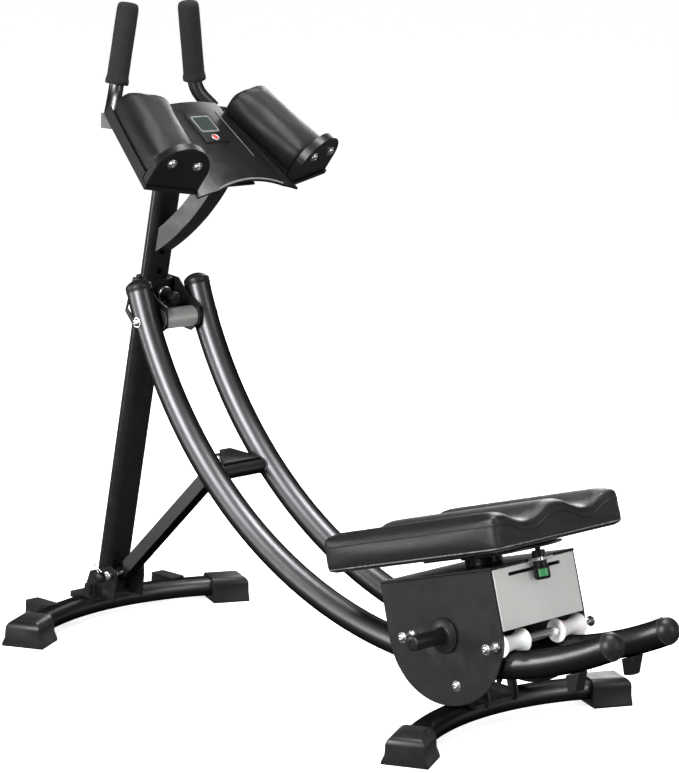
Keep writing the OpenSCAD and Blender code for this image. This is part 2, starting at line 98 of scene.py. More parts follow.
def on_column(h):
    return shift(COLUMN_X, 0, 0) @ turn(LEAN, "Y") @ shift(0, 0, h)


def on_height_knob():
    """Frame whose Z points out of the column's front, along the height knob."""
    return on_column(COLUMN_TOP - HEIGHT_KNOB_DROP) @ shift(COLUMN_DEPTH / 2, 0, 0) @ turn(90, "Y")


def on_pad(side):
    return ARM @ shift(0, side * PAD_Y, 0) @ turn(side * SPLAY, "Z")


def on_handle(side):
    """Frame of a handle, mirrored on the right: a lathed form stays closed under the mirror."""
    mirror = Matrix.Diagonal((1, side, 1, 1))
    return mirror @ shift(*HANDLE) @ turn(1.5, "Y") @ turn(9.2, "X")


# ---- materials ----
def add(tree, kind, **values):
    node = tree.nodes.new(kind)
    for key, value in values.items():
        if key in node.inputs:
            node.inputs[key].default_value = value
        else:
            setattr(node, key, value)
    return node


def coordinates(tree, stretch=(1, 1, 1)):
    place = add(tree, "ShaderNodeMapping")
    place.inputs["Scale"].default_value = stretch
    tree.links.new(add(tree, "ShaderNodeTexCoord").outputs["Object"], place.inputs["Vector"])
    return place.outputs["Vector"]


def noise(tree, vector, scale, detail=3.0):
    texture = add(tree, "ShaderNodeTexNoise", Scale=scale, Detail=detail)
    tree.links.new(vector, texture.inputs["Vector"])
    return texture.outputs["Fac"]


def between(tree, factor, low, high, start=0.3, stop=0.7):
    spread = add(tree, "ShaderNodeMapRange")
    for name, value in (("From Min", start), ("From Max", stop), ("To Min", low), ("To Max", high)):
        spread.inputs[name].default_value = value
    tree.links.new(factor, spread.inputs["Value"])
    return spread.outputs["Result"]


def mixed(tree, factor, a, b):
    mix = add(tree, "ShaderNodeMix", data_type="RGBA")
    tree.links.new(factor, mix.inputs["Factor"])
    for socket, value in ((mix.inputs["A"], a), (mix.inputs["B"], b)):
        if isinstance(value, tuple):
            socket.default_value = (*value, 1)
        else:
            tree.links.new(value, socket)
    return mix.outputs["Result"]


def cells(tree, vector, scale):
    """Leather pebbles: distance to the edges of warped cells."""
    warp = add(tree, "ShaderNodeVectorMath", operation="MULTIPLY_ADD")
    texture = add(tree, "ShaderNodeTexNoise", Scale=scale * 0.5, Detail=2.0)
    tree.links.new(vector, texture.inputs["Vector"])
    tree.links.new(texture.outputs["Color"], warp.inputs[0])
    warp.inputs[1].default_value = (0.6 / scale,) * 3
    tree.links.new(vector, warp.inputs[2])
    voronoi = add(tree, "ShaderNodeTexVoronoi", feature="DISTANCE_TO_EDGE", Scale=scale)
    tree.links.new(warp.outputs["Vector"], voronoi.inputs["Vector"])
    return between(tree, voronoi.outputs["Distance"], 0.0, 1.0, 0.0, 0.25)


def look(name, colour, rough, grain, depth, spread=0.12, rough_spread=0.06, wear=0.0, kind="noise",
         tone=9.0, stretch=(1, 1, 1), **constants):
    """One procedural material: tone drift, uneven roughness, a surface grain and paler, worn edges."""
    material = bpy.data.materials.new(name)
    material.use_nodes = True
    tree = material.node_tree
    shader = tree.nodes["Principled BSDF"]
    for key, value in constants.items():
        shader.inputs[key.replace("_", " ")].default_value = value
    vector = coordinates(tree)
    dark = tuple(c * (1 - spread) for c in colour)
    pale = tuple(c * (1 + spread) for c in colour)
    tint = mixed(tree, between(tree, noise(tree, vector, tone, 4.0), 0, 1), dark, pale)
    if wear:
        edge = add(tree, "ShaderNodeNewGeometry").outputs["Pointiness"]
        edge = between(tree, edge, 0, wear, 0.56, 0.68)
        tint = mixed(tree, edge, tint, tuple(min(1, c * 1.6 + 0.05) for c in colour))
    tree.links.new(tint, shader.inputs["Base Color"])
    smear = noise(tree, vector, tone * 4, 5.0)
    uneven = between(tree, smear, rough - rough_spread, rough + rough_spread)
    tree.links.new(uneven, shader.inputs["Roughness"])
    fine = coordinates(tree, stretch)
    height = cells(tree, fine, grain) if kind == "cells" else noise(tree, fine, grain, 3.0)
    bump = add(tree, "ShaderNodeBump", Strength=0.55, Distance=depth)
    tree.links.new(height, bump.inputs["Height"])
    tree.links.new(bump.outputs["Normal"], shader.inputs["Normal"])
    return material


LOOKS = {
    "frame_paint": look("frame_paint", (0.085, 0.085, 0.088), 0.37, 420, 0.000006, spread=0.05,
                        rough_spread=0.015, Metallic=1.0, Specular_Tint=(0.05, 0.05, 0.05, 1)),
    "bracket_paint": look("bracket_paint", (0.008, 0.008, 0.0085), 0.32, 700, 0.00008, wear=0.3, Metallic=0.1,
                          Specular_IOR_Level=0.3),
    # The barrel's light grey is a painted reflection: paint like the frame's, made far paler to stand for the
    # front light it reflects.
    "barrel_metal": look("barrel_metal", (0.36, 0.357, 0.345), 0.36, 500, 0.00006, wear=0.3, Metallic=0.6),
    "cap_plastic": look("cap_plastic", (0.007, 0.007, 0.0073), 0.40, 1500, 0.00014, wear=0.15,
                        Specular_IOR_Level=0.3),
    "bright_steel": look("bright_steel", (0.90, 0.90, 0.90), 0.28, 260, 0.00002, spread=0.05, Metallic=1.0,
                         stretch=(1, 12, 12)),
    "black_plastic": look("black_plastic", (0.004, 0.004, 0.0045), 0.34, 1700, 0.0001, wear=0.15,
                          Specular_IOR_Level=0.28),
    "wheel_rubber": look("wheel_rubber", (0.018, 0.018, 0.018), 0.70, 900, 0.00012),
    "foam_grip": look("foam_grip", (0.007, 0.007, 0.0072), 0.72, 1300, 0.0004, kind="cells",
                      Specular_IOR_Level=0.2, Sheen_Weight=0.02, Sheen_Roughness=0.6),
    "pad_skin": look("pad_skin", (0.004, 0.004, 0.0043), 0.42, 1100, 0.00012, kind="cells",
                     Specular_IOR_Level=0.2),
    "red_plastic": look("red_plastic", (0.52, 0.012, 0.012), 0.25, 900, 0.00004, Coat_Weight=0.4),
    "plate_paint": look("plate_paint", (0.0105, 0.011, 0.012), 0.38, 1500, 0.0001, wear=0.3, Metallic=0.1,
                        Specular_IOR_Level=0.3),
    "peg_paint": look("peg_paint", (0.008, 0.008, 0.008), 0.34, 800, 0.00008, wear=0.3, Metallic=0.1,
                      Specular_IOR_Level=0.3),
    "light_paint": look("light_paint", (0.56, 0.56, 0.545), 0.38, 1200, 0.00008, spread=0.05, wear=0.3,
                        Metallic=0.3),
    "white_nylon": look("white_nylon", (0.78, 0.78, 0.765), 0.30, 600, 0.00005, spread=0.04,
                        Subsurface_Weight=0.15, Subsurface_Scale=0.004),
    "board_wood": look("board_wood", (0.030, 0.027, 0.024), 0.55, 160, 0.0003, spread=0.3, stretch=(1, 9, 9)),
    "seat_vinyl": look("seat_vinyl", (0.0075, 0.0075, 0.0072), 0.36, 850, 0.00016, kind="cells", wear=0.1,
                       Specular_IOR_Level=0.36),
}
TUBE_PAINT = look("tube_paint", (0.0055, 0.0055, 0.006), 0.30, 700, 0.00002, Metallic=0.1,
                  Specular_IOR_Level=0.35)
GREEN = look("label_green", (0.02, 0.20, 0.06), 0.4, 900, 0.00003, Coat_Weight=0.3)
SCREEN = look("screen_glass", (0.035, 0.045, 0.040), 0.12, 300, 0.00001, Coat_Weight=1.0,
              Coat_Roughness=0.03)
# Grey trim for the display's bezel. On the tray's front lip the same pale grey is a painted highlight along
# the edge.
TRIM_AND_HIGHLIGHT = look("rim_trim_and_highlight", (0.16, 0.16, 0.16), 0.30, 1200, 0.00006, wear=0.3)
THREAD = look("seam_thread", (0.10, 0.10, 0.098), 0.55, 2600, 0.0002)


# ---- mesh helpers ----
def settle(ob, sharp=35):
    mesh = ob.data
    for polygon in mesh.polygons:
        polygon.use_smooth = True
    mesh.set_sharp_from_angle(angle=math.radians(sharp))


def piece(name, bm, slot, body, replaces=(), material=None, sharp=35):
    """A new piece from a bmesh in the row frame, riding on a body; it stands for the CAD nodes named."""
    bmesh.ops.recalc_face_normals(bm, faces=bm.faces)
    mesh = bpy.data.meshes.new(name)
    bm.to_mesh(mesh)
    bm.free()
    ob = bpy.data.objects.new(name, mesh)
    bpy.context.scene.collection.objects.link(ob)
    mesh.materials.append(material or LOOKS[slot])
    settle(ob, sharp)
    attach(ob, body)
    if replaces:
        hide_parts(*replaces)
    return ob


def rings_to_mesh(bm, rings, cap_start=True, cap_end=True, closed=False):
    rows = [[bm.verts.new(p) for p in ring] for ring in rings]
    pairs = list(zip(rows, rows[1:])) + ([(rows[-1], rows[0])] if closed else [])
    for a, b in pairs:
        for i in range(len(a)):
            j = (i + 1) % len(a)
            bm.faces.new((a[i], a[j], b[j], b[i]))
    if cap_start and not closed:
        bm.faces.new(list(reversed(rows[0])))
    if cap_end and not closed:
        bm.faces.new(rows[-1])


def lathe(bm, profile, place, segments=56):
    """Adds a turned form. Profile points are (radius, height) or (radius, height, shape): shape 6 makes a
    hexagon of that point's ring, and a pair (ribs, depth) makes ribs."""
    rings = []
    for point in profile:
        r, h = max(point[0], 0.02), point[1]
        shape = point[2] if len(point) > 2 else None
        ring = []
        for i in range(segments):
            a = 2 * math.pi * i / segments
            k = r
            if shape == 6:
                k = r * math.cos(math.pi / 6) / math.cos(a % (math.pi / 3) - math.pi / 6)
            elif shape:
                k = r * (1 - shape[1] * max(0.0, math.cos(shape[0] * a)) ** 2)
            ring.append(ROW @ place @ Vector((k * math.cos(a), k * math.sin(a), h)))
        rings.append(ring)
    rings_to_mesh(bm, rings)


def tube(bm, points, radius, closed=False, sides=12, ripple=0.0, pitch=4.0):
    """Adds a round wire through points in the fit frame, with weld-like ripples if asked."""
    points = [Vector(p) for p in points]
    rings, side, run = [], None, 0.0
    for i, p in enumerate(points):
        before = points[i - 1] if i or closed else p
        after = points[(i + 1) % len(points)] if i + 1 < len(points) or closed else p
        along = (after - before).normalized()
        if side is None:
            side = along.orthogonal().normalized()
        side = (side - along * side.dot(along)).normalized()
        other = along.cross(side)
        run += (p - points[i - 1]).length if i else 0.0
        r = radius * (1 + ripple * math.sin(2 * math.pi * run / pitch))
        rings.append([ROW @ (p + r * (side * math.cos(a) + other * math.sin(a)))
                      for a in (2 * math.pi * k / sides for k in range(sides))])
    rings_to_mesh(bm, rings, closed=closed)


def dome_head(r, base=0.0):
    """Profile of a domed bolt head on its washer, with a hexagon socket; it starts from the washer's rim."""
    washer = [(r + 2.2, base), (r + 2.2, base + 1.1), (r + 1.8, base + 1.5), (r, base + 1.5)]
    dome = [(r * math.cos(math.radians(a)), base + 1.7 + r * 0.62 * math.sin(math.radians(a)))
            for a in range(8, 61, 13)]
    floor = base + 1.7 + r * 0.16
    return washer + dome + [(r * 0.42, dome[-1][1] + 0.05, 6), (r * 0.38, dome[-1][1] - 0.2, 6),
                            (r * 0.38, floor, 6), (0, floor)]


def rod_profile(r, h0, h1, head=None):
    """A rod from h0 to h1 that ends in a domed head."""
    body = [(0, h0), (r - 0.6, h0), (r, h0 + 0.6), (r, h1)]
    return body + (dome_head(head, h1) if head else [(0, h1)])


def bolt_through(bm, p, r, half, head):
    for side in (1, -1):
        lathe(bm, rod_profile(r, 0.0, half, head), across(p, 0, side))


def softened(node, width, flat=True):
    """Stands for a CAD node with its own shape and rounded edges; flat shades its large faces evenly."""
    bm = bmesh.new()
    bm.from_mesh(frame["nodes"][node].data)
    bmesh.ops.remove_doubles(bm, verts=bm.verts, dist=2e-6)
    bmesh.ops.dissolve_limit(bm, angle_limit=math.radians(0.6), verts=bm.verts, edges=bm.edges)
    ob = piece(node + "_body", bm, SLOT[node], BODY[node], (node,))
    bevel = ob.modifiers.new("round", "BEVEL")
    bevel.width, bevel.segments = width / 1000, 3
    bevel.limit_method, bevel.angle_limit = "ANGLE", math.radians(32)
    bevel.use_clamp_overlap = True
    bake(ob)
    settle(ob, 40)
    if flat:
        weighted = ob.modifiers.new("normals", "WEIGHTED_NORMAL")
        weighted.keep_sharp = True
        bake(ob)


def bake(ob):
    """Applies the modifiers."""
    graph = bpy.context.evaluated_depsgraph_get()
    graph.update()
    mesh = bpy.data.meshes.new_from_object(ob.evaluated_get(graph))
    ob.modifiers.clear()
    ob.data = mesh


def inflate(ob, voxel, cap, held, pressure=4.0, frames=20):
    """Remeshes a closed form and swells it with cloth pressure, by cap at most; held(point) pins a vertex."""
    remesh = ob.modifiers.new("remesh", "REMESH")
    remesh.mode, remesh.voxel_size = "VOXEL", voxel
    bake(ob)
    rest = [v.co.copy() for v in ob.data.vertices]
    group = ob.vertex_groups.new(name="held")
    group.add([i for i, p in enumerate(rest) if held(p)], 1.0, "REPLACE")
    cloth = ob.modifiers.new("cloth", "CLOTH")
    cloth.settings.use_pressure = True
    cloth.settings.uniform_pressure_force = pressure
    cloth.settings.effector_weights.gravity = 0
    cloth.settings.vertex_group_mass = "held"
    cloth.point_cache.frame_end = frames
    scene = bpy.context.scene
    for f in range(1, frames + 1):
        scene.frame_set(f)
    graph = bpy.context.evaluated_depsgraph_get()
    moved = [v.co.copy() for v in ob.evaluated_get(graph).data.vertices]
    ob.modifiers.clear()
    ob.vertex_groups.clear()
    for vertex, a, b in zip(ob.data.vertices, rest, moved):
        d = b - a
        vertex.co = a + (d * (cap / d.length) if d.length > cap else d)
    scene.frame_set(1)
    smooth = ob.modifiers.new("smooth", "SMOOTH")
    smooth.factor, smooth.iterations = 0.5, 10
    divide = ob.modifiers.new("divide", "SUBSURF")
    divide.levels = divide.render_levels = 1
    bake(ob)
    settle(ob, 80)


def rounded_block(bm, low, high, radius, corner, cuts, place, shape=None):
    """Adds a block with rounded edges and larger rounded upright corners; shape(p) moves its points."""
    made = bmesh.ops.create_cube(bm, size=2.0)["verts"]
    edges = list({e for v in made for e in v.link_edges})
    bmesh.ops.subdivide_edges(bm, edges=edges, cuts=cuts, use_grid_fill=True)
    centre = [(a + b) / 2 for a, b in zip(low, high)]
    half = [(b - a) / 2 for a, b in zip(low, high)]
    for v in bm.verts:
        p = Vector(v.co[i] * half[i] for i in range(3))
        for r, axes in ((corner, (0, 1)), (radius, (0, 1, 2))):
            inner = [max(-half[i] + r, min(half[i] - r, p[i])) if i in axes else p[i] for i in range(3)]
            out = p - Vector(inner)
            if out.length > r:
                p = Vector(inner) + out * (r / out.length)
        p = p + Vector(centre)
        v.co = ROW @ place @ (shape(p) if shape else p)


# ---- CAD nodes that stay ----
FLAT_TUBES = ("column_tube", "head_post", "head_brace")
for node_name, node_object in frame["nodes"].items():
    for material_slot in node_object.material_slots:
        material_slot.link = "OBJECT"
        material_slot.material = TUBE_PAINT if node_name in FLAT_TUBES else LOOKS[SLOT[node_name]]

# ---- plates, brackets and moulded ends ----
EDGE_RADII = {
    "strut_lugs": 0.9, "front_bracket": 0.9, "column_collar": 1.2, "hinge_bracket": 0.9, "rear_saddle": 0.9,
    "wheel_brackets": 0.8, "head_bracket": 0.9, "carriage_deck": 0.9, "swivel_plate": 0.8, "seat_board": 1.5,
    "side_plate_left": 0.9, "side_plate_right": 0.9, "front_cross_plate": 0.8, "strut_tube": 2.2,
    "rail_bumpers": 2.0, "front_foot_caps": 3.0, "rear_foot_caps": 3.0, "arm_tray": 1.3,
    "counter_housing": 1.5, "elbow_cap_left": 3.0, "elbow_cap_right": 3.0, "rail_top_caps": 1.8,
    "barrel_rings": 0.9,
}
for edge_node, edge_width in EDGE_RADII.items():
    softened(edge_node, edge_width, flat="foot_caps" not in edge_node)


# ---- fasteners and turned parts ----
def hinge_hardware():
    """Bolts of the column's hinge and of the strut's lug."""
    bm = bmesh.new()
    bolt_through(bm, on_rail(RAIL_R, HINGE_ANGLE), 6, RAIL_Y + RAIL_OD / 2 + 0.1, 8)
    piece("pivot_bolt_turned", bm, "bright_steel", "track", ("pivot_bolt",))
    bm = bmesh.new()
    bolt_through(bm, LUG, 5, 21.05, 6.5)
    piece("strut_bolt_turned", bm, "bright_steel", "track", ("strut_bolt",))


def carriage_hardware():
    """Roller axles with their nuts and spacers, the lower studs and the weight pegs with their flanges."""
    bm = bmesh.new()
    for t in (REAR_ANGLE, FRONT_ANGLE):
        p = on_rail(UPPER_R, t)
        bolt_through(bm, p, 5, 143, 7.5)
        for side in (1, -1):
            nut = [(5.1, 0), (9.2, 0, 6), (9.6, 0.6, 6), (9.6, 5.2, 6), (9.0, 5.9, 6), (5.1, 5.9)]
            lathe(bm, nut, across(p, PLATE_OUT, side))
        lathe(bm, [(5.05, -43), (8, -43), (8, 43), (5.05, 43)], across(p))
    piece("axles_turned", bm, "bright_steel", "carriage", ("axles",))
    bm = bmesh.new()
    for side in (1, -1):
        p = on_rail(LOWER_R, LOWER_ANGLE)
        y0 = RAIL_Y - 33.6
        stud = [(0, y0), (8, y0), (8, y0 + 2.2), (5, y0 + 2.2), (5, PLATE_OUT)] + dome_head(7.5, PLATE_OUT)
        lathe(bm, stud, across(p, 0, side))
    piece("lower_studs_turned", bm, "bright_steel", "carriage", ("lower_studs",))
    bm = bmesh.new()
    for side in (1, -1):
        flange = [(0, 0.05), (31, 0.05), (32, 1), (32, 4.6), (30.6, 6), (17.5, 6), (16, 6.8), (14.4, 9),
                  (14, 12)]
        tip = [(14, 83), (13.4, 84.6), (11.2, 86), (6, 86), (5.2, 84.4), (0, 84.4)]
        lathe(bm, flange + tip, across(PEG, PLATE_OUT, side))
    piece("weight_pegs_turned", bm, "peg_paint", "carriage", ("weight_pegs",))


def wheel_hardware():
    """Transport wheels with a recessed web, on their axle bolts."""
    bm = bmesh.new()
    for side in (1, -1):
        axle = [(0, 153), (3.5, 153), (4, 153.6), (4, 186.2)] + dome_head(5, 186.2)
        lathe(bm, axle, across(WHEEL, 0, side))
    piece("wheel_axles_turned", bm, "bright_steel", "column", ("wheel_axles",))
    for side, word in SIDES:
        bm = bmesh.new()
        rim = [(4.06, 1), (9, 1), (10, 2), (13, 2), (14, 0.4), (16.4, 0), (18, 2.2), (18, 17.8), (16.4, 20),
               (14, 19.6), (13, 18), (10, 18), (9, 19), (4.06, 19)]
        lathe(bm, rim, across(WHEEL, 160, side))
        name = "transport_wheel_" + word
        piece(name + "_turned", bm, "wheel_rubber", BODY[name], (name,))


def rollers():
    """Waisted rollers with a hub recess and a bearing ring."""
    for row, angle in (("front", FRONT_ANGLE), ("rear", REAR_ANGLE), ("lower", LOWER_ANGLE)):
        waist, groove, flange = (10.7, 80, 17) if row == "lower" else (13.6, 59, 23.5)
        x, z = on_rail(LOWER_R if row == "lower" else UPPER_R, angle)
        wall = [(min(flange, waist + groove - math.sqrt(groove ** 2 - y * y)), y)
                for y in range(-29, 30, 2)]
        edge = wall[0][0] + 0.7
        hub = waist - 4.5
        profile = [(5.06, -28), (hub - 0.6, -28), (hub, -29.4), (edge - 2.2, -31), (edge - 0.6, -30.6)] + wall
        profile += [(edge - 0.6, 30.6), (edge - 2.2, 31), (hub, 29.4), (hub - 0.6, 28), (5.06, 28)]
        for side, word in SIDES:
            bm = bmesh.new()
            lathe(bm, profile, shift(x, side * RAIL_Y, z) @ turn(-90, "X"))
            name = f"roller_{row}_{word}"
            piece(name + "_turned", bm, "white_nylon", BODY[name], (name,))


def latch_pin():
    """Quick-release pin with a ribbed knob and a wire bail that hangs from it."""
    bm = bmesh.new()
    shank = [(0, -44), (2.6, -44), (4.5, -41.5), (4.5, 46.4), (8, 46.4), (9, 47.2), (9, 50.4), (8, 51),
             (3, 51.4), (3, 60)]
    lathe(bm, shank, across(PIN, 0, -1))
    piece("lock_pin_turned", bm, "bright_steel", "pin", ("lock_pin",))
    bm = bmesh.new()
    rib = (14, 0.06)
    knob = [(3, 60), (9, 60), (10.6, 61.2, rib), (11, 63, rib), (11, 71, rib), (10.4, 73, rib),
            (8.4, 74.4), (0, 75)]
    lathe(bm, knob, across(PIN, 0, -1))
    piece("lock_pin_knob", bm, "black_plastic", "pin")
    bm = bmesh.new()
    turns = [2 * math.pi * k / 48 for k in range(48)]
    loop = [(PIN[0] - 15 + 22 * math.cos(a) - 4 * math.sin(a), -55.5 + 1.5 * math.cos(2 * a),
             PIN[1] + 9 - 13 * math.cos(a) + 6 * math.sin(a)) for a in turns]
    tube(bm, loop, 1.1, closed=True, sides=10)
    piece("lock_pin_bail", bm, "bright_steel", "pin")


def knobs():
    """Height knob with the steel ring on its boss, and the index knob with its label and tongue."""
    bm = bmesh.new()
    rib = (10, 0.09)
    grip = [(0, -2.9), (5.4, -2.9), (6, -2.3), (6, 21.6), (12, 21.6), (12, 27), (11, 27.6), (6, 28), (6, 33),
            (9, 35, rib), (12.4, 38, rib), (13, 42, rib), (13, 47, rib), (12, 50.4, rib), (9, 52.4), (0, 53)]
    lathe(bm, grip, on_height_knob(), 80)
    piece("height_knob_turned", bm, "black_plastic", BODY["height_knob"], ("height_knob",))
    bm = bmesh.new()
    ring = [(14.02, 16), (15.6, 16.2), (16, 16.8), (16, 20), (15.6, 20.6), (14.02, 20.8)]
    lathe(bm, ring, on_height_knob(), 64)
    piece("height_boss_ring", bm, "bright_steel", BODY["column_collar"])
    bm = bmesh.new()
    rib = (18, 0.07)
    grip = [(0, -34), (10, -34), (13, -33.2, rib), (14.5, -31, rib), (14.5, -13, rib), (13.8, -11.6, rib),
            (12, -11), (12, -2.4), (13, -1.8), (13, -0.3), (5, -0.3), (5, 21.4), (4.2, 22), (0, 22)]
    lathe(bm, grip, CARRIAGE @ shift(KNOB_X, 0, DECK_Z), 90)
    piece("seat_knob_turned", bm, "black_plastic", BODY["seat_knob"], ("seat_knob",))
    bm = bmesh.new()
    for r, out in ((14.7, 1), (14.1, -1)):
        rows = [[bm.verts.new(ROW @ CARRIAGE @ Vector((KNOB_X + r * math.cos(math.radians(a)),
                                                       r * math.sin(math.radians(a)), DECK_Z + h)))
                 for a in range(-72, 3, 6)] for h in (-28.5, -15.5)]
        for i in range(len(rows[0]) - 1):
            bm.faces.new((rows[0][i], rows[0][i + 1], rows[1][i + 1], rows[1][i])[::out])
    bmesh.ops.bridge_loops(bm, edges=[e for e in bm.edges if e.is_boundary])
    piece("seat_knob_label", bm, "black_plastic", BODY["seat_knob"], material=GREEN)
    bm = bmesh.new()
    rounded_block(bm, (134.4, -17.8, 101.4), (167.4, 17.8, 107.9), 1.2, 5, 9, CARRIAGE)
    piece("deck_tongue", bm, "bright_steel", "carriage")


def rail_ends():
    """Ball ends on the rails' front ends, and the lips under the caps at their rear ends."""
    bm = bmesh.new()
    for side in (1, -1):
        x, z = on_rail(RAIL_R, END_ANGLE)
        place = shift(x, side * RAIL_Y, z) @ turn(180 - END_ANGLE, "Y")
        ball = [(25 * math.cos(math.radians(a)), 1.6 + 23 * math.sin(math.radians(a)))
                for a in range(0, 90, 6)]
        lathe(bm, [(0, 0.05), (25.4, 0.05), (25.6, 0.5), (25.6, 1.2), (25, 1.6)] + ball + [(0, 24.6)], place)
    piece("rail_end_caps_turned", bm, "cap_plastic", "track", ("rail_end_caps",))
    bm = bmesh.new()
    for side in (1, -1):
        x, z = on_rail(RAIL_R, TOP_ANGLE)
        place = shift(x, side * RAIL_Y, z) @ turn(-TOP_ANGLE, "Y")
        lip = [(24.9, -3.4), (25.9, -3.2), (26.2, -2.4), (26.2, -0.8), (25.9, 0.1), (24.9, 0.3)]
        lathe(bm, lip, place)
    piece("rail_cap_lips", bm, "cap_plastic", "track")


def welds():
    """Weld beads where the middle cross tube and the front foot's cross tube meet the rails."""
    bm = bmesh.new()
    r = CROSS_TUBE_R
    for x, z in (on_rail(RAIL_R, MID_ANGLE), CROSS_TUBE):
        for side in (1, -1):
            ring = []
            for k in range(96):
                a = 2 * math.pi * k / 96
                px, pz = x + r * math.cos(a), z + r * math.sin(a)
                off = math.hypot(px - ARC_CENTRE[0], pz - ARC_CENTRE[1]) - RAIL_R
                reach = math.sqrt(max((RAIL_OD / 2) ** 2 - off * off, 0))
                if abs(off) < RAIL_OD / 2:
                    ring.append((px, side * (RAIL_Y - reach), pz))
            tube(bm, ring, 2.1, closed=len(ring) == 96, sides=10, ripple=0.16, pitch=3.6)
    piece("weld_beads", bm, "frame_paint", "track")


hinge_hardware()
carriage_hardware()
wheel_hardware()
rollers()
latch_pin()
knobs()
rail_ends()
welds()


# ---- head ----
def grips():
    """Foam grips with a thicker collar at the lower end and a rounded top."""
    for side, word in SIDES:
        bm = bmesh.new()
        outer = [(14.1, -3), (20.4, -3), (22.4, -1.6), (22.8, 2), (22.6, 7), (21.4, 10), (21, 14),
                 (20.8, 60), (21.1, 100), (21, 138), (20.4, 146), (18, 151.4), (13.6, 153.6), (7, 154.2),
                 (5, 152.6), (0, 152.4)]
        lathe(bm, outer, on_handle(side), 64)
        name = "grip_" + word
        grip = piece(name + "_foam", bm, "foam_grip", BODY[name], (name,), sharp=60)


def pad_outline(width, height, inset, n=56):
    """Half-round section over a flat base, from the base's left corner over the top, shrunk by inset."""
    w, h, waist = width / 2 - inset, height - inset, height * 0.4
    ring = []
    for k in range(n):
        a = 2 * math.pi * k / n
        c, s = math.cos(a), math.sin(a)
        e = 0.56 if s > 0 else 0.28
        y = w * math.copysign(abs(c) ** e, c)
        z = waist + (h - waist) * abs(s) ** 0.52 if s > 0 else waist * (1 - abs(s) ** 0.32)
        ring.append((y, max(z, inset * 0.4)))
    return ring


def elbow_pads():
    """Half-round pads with rounded rear ends, pressed out a little and held along their bases and caps."""
    for side, word in SIDES:
        bm = bmesh.new()
        place = on_pad(side)
        rings = []
        stations = ((0.6, 12), (1.4, 7), (4, 3.2), (9, 1.2), (20, 0.5), (60, 0.3), (100, 0.3), (140, 0.3),
                    (172, 0.5), (180, 1.2), (184, 3), (185.6, 6))
        for x, inset in stations:
            outline = pad_outline(PAD_WIDTH, PAD_HEIGHT, inset)
            rings.append([ROW @ place @ Vector((x, y, z + 0.3)) for y, z in outline])
        rings_to_mesh(bm, rings)
        name = "elbow_pad_" + word
        pad = piece(name + "_foam", bm, "pad_skin", BODY[name], (name,), sharp=80)
        lift = (ROW @ place).inverted()
        inflate(pad, 0.0045, 0.003, lambda p: (lift @ p).z < 6 or (lift @ p).x > PAD_LENGTH - 4)
        for vertex in pad.data.vertices:
            q = lift @ vertex.co
            q.x = min(q.x, PAD_LENGTH - 0.1)
            vertex.co = ROW @ place @ q


def elbow_hardware():
    """Screws through the pads' caps, and the band round each cap's face."""
    bm = bmesh.new()
    for side in (1, -1):
        for y in (-28, 28):
            place = on_pad(side) @ shift(PAD_LENGTH + 1, y, 55) @ turn(90, "Y")
            lathe(bm, [(0, 0), (5, 0), (5, 15.4)] + dome_head(7.6, 15.4), place)
    piece("elbow_screws_turned", bm, "bright_steel", "head", ("elbow_screws",))
    for side, word in SIDES:
        bm = bmesh.new()
        arch = [(58 * math.cos(math.radians(a)), 36 + 58 * math.sin(math.radians(a)))
                for a in range(-3, 184, 4)]
        path = [(52.5, 4)] + [(y * 0.93, (z - 36) * 0.93 + 36) for y, z in arch] + [(-52.5, 4)]
        tube(bm, [on_pad(side) @ Vector((PAD_LENGTH + 14.6, y, z)) for y, z in path], 2.6, sides=14)
        piece(f"elbow_cap_{word}_band", bm, "black_plastic", "head")


def console():
    """Framed display on the counter housing, and the red button in its steel ring."""
    bm = bmesh.new()
    rounded_block(bm, (35, -28, 18.2), (80, 20, 20.8), 1.2, 5, 9, ARM)
    piece("counter_bezel", bm, "black_plastic", "head", material=TRIM_AND_HIGHLIGHT)
    bm = bmesh.new()
    rounded_block(bm, (39, -24, 19.4), (76, 16, 21.3), 0.8, 3, 9, ARM)
    piece("counter_display", bm, "black_plastic", "head", material=SCREEN)
    bm = bmesh.new()
    ring = [(5.3, 0), (8.4, 0), (8.2, 1), (7.4, 1.6), (5.6, 1.3), (5.3, 0.8)]
    lathe(bm, ring, ARM @ shift(*BUTTON))
    piece("counter_ring", bm, "bright_steel", "head")
    bm = bmesh.new()
    button = [(0, -3), (4.7, -3), (4.9, -2.6), (4.9, 1.4), (4.2, 2), (2.4, 2.1), (0, 1.8)]
    lathe(bm, button, ARM @ shift(*BUTTON))
    piece("counter_button_turned", bm, "red_plastic", BODY["counter_button"], ("counter_button",))


def tray_rim():
    """Raised lip along the tray's front edge, its pale grey a painted highlight on that edge, and two moulded
    ribs beside the console.
    """
    bm = bmesh.new()
    tray = frame["nodes"]["arm_tray"].data
    tree = BVHTree.FromPolygons([v.co for v in tray.vertices], [p.vertices for p in tray.polygons])
    down = ((ROW @ ARM).to_3x3() @ Vector((0, 0, -1))).normalized()

    def on_tray(x, y):
        hit = tree.ray_cast(ROW @ ARM @ Vector((x, y, 90)), down)
        return None if hit[0] is None else ROW.inverted() @ hit[0]

    def front_edge(y):
        return 224 + 322 - math.sqrt(340 ** 2 - y * y) + 7 - 2.6 if abs(y) < 118 else 218

    found = [on_tray(front_edge(y), y) for y in range(-84, 85, 6)]
    tube(bm, [p for p in found if p], 2.0, sides=10)
    # The lip's pale grey is a painted highlight along the tray's front edge.
    piece("tray_rim", bm, "black_plastic", "head", material=TRIM_AND_HIGHLIGHT)
    bm = bmesh.new()
    for y, flare in ((-62, -0.052), (54, 0.052)):
        found = [on_tray(x, y + flare * x) for x in range(20, 150, 8)]
        tube(bm, [p for p in found if p], 1.3, sides=8)
    piece("tray_ribs", bm, "black_plastic", "head")


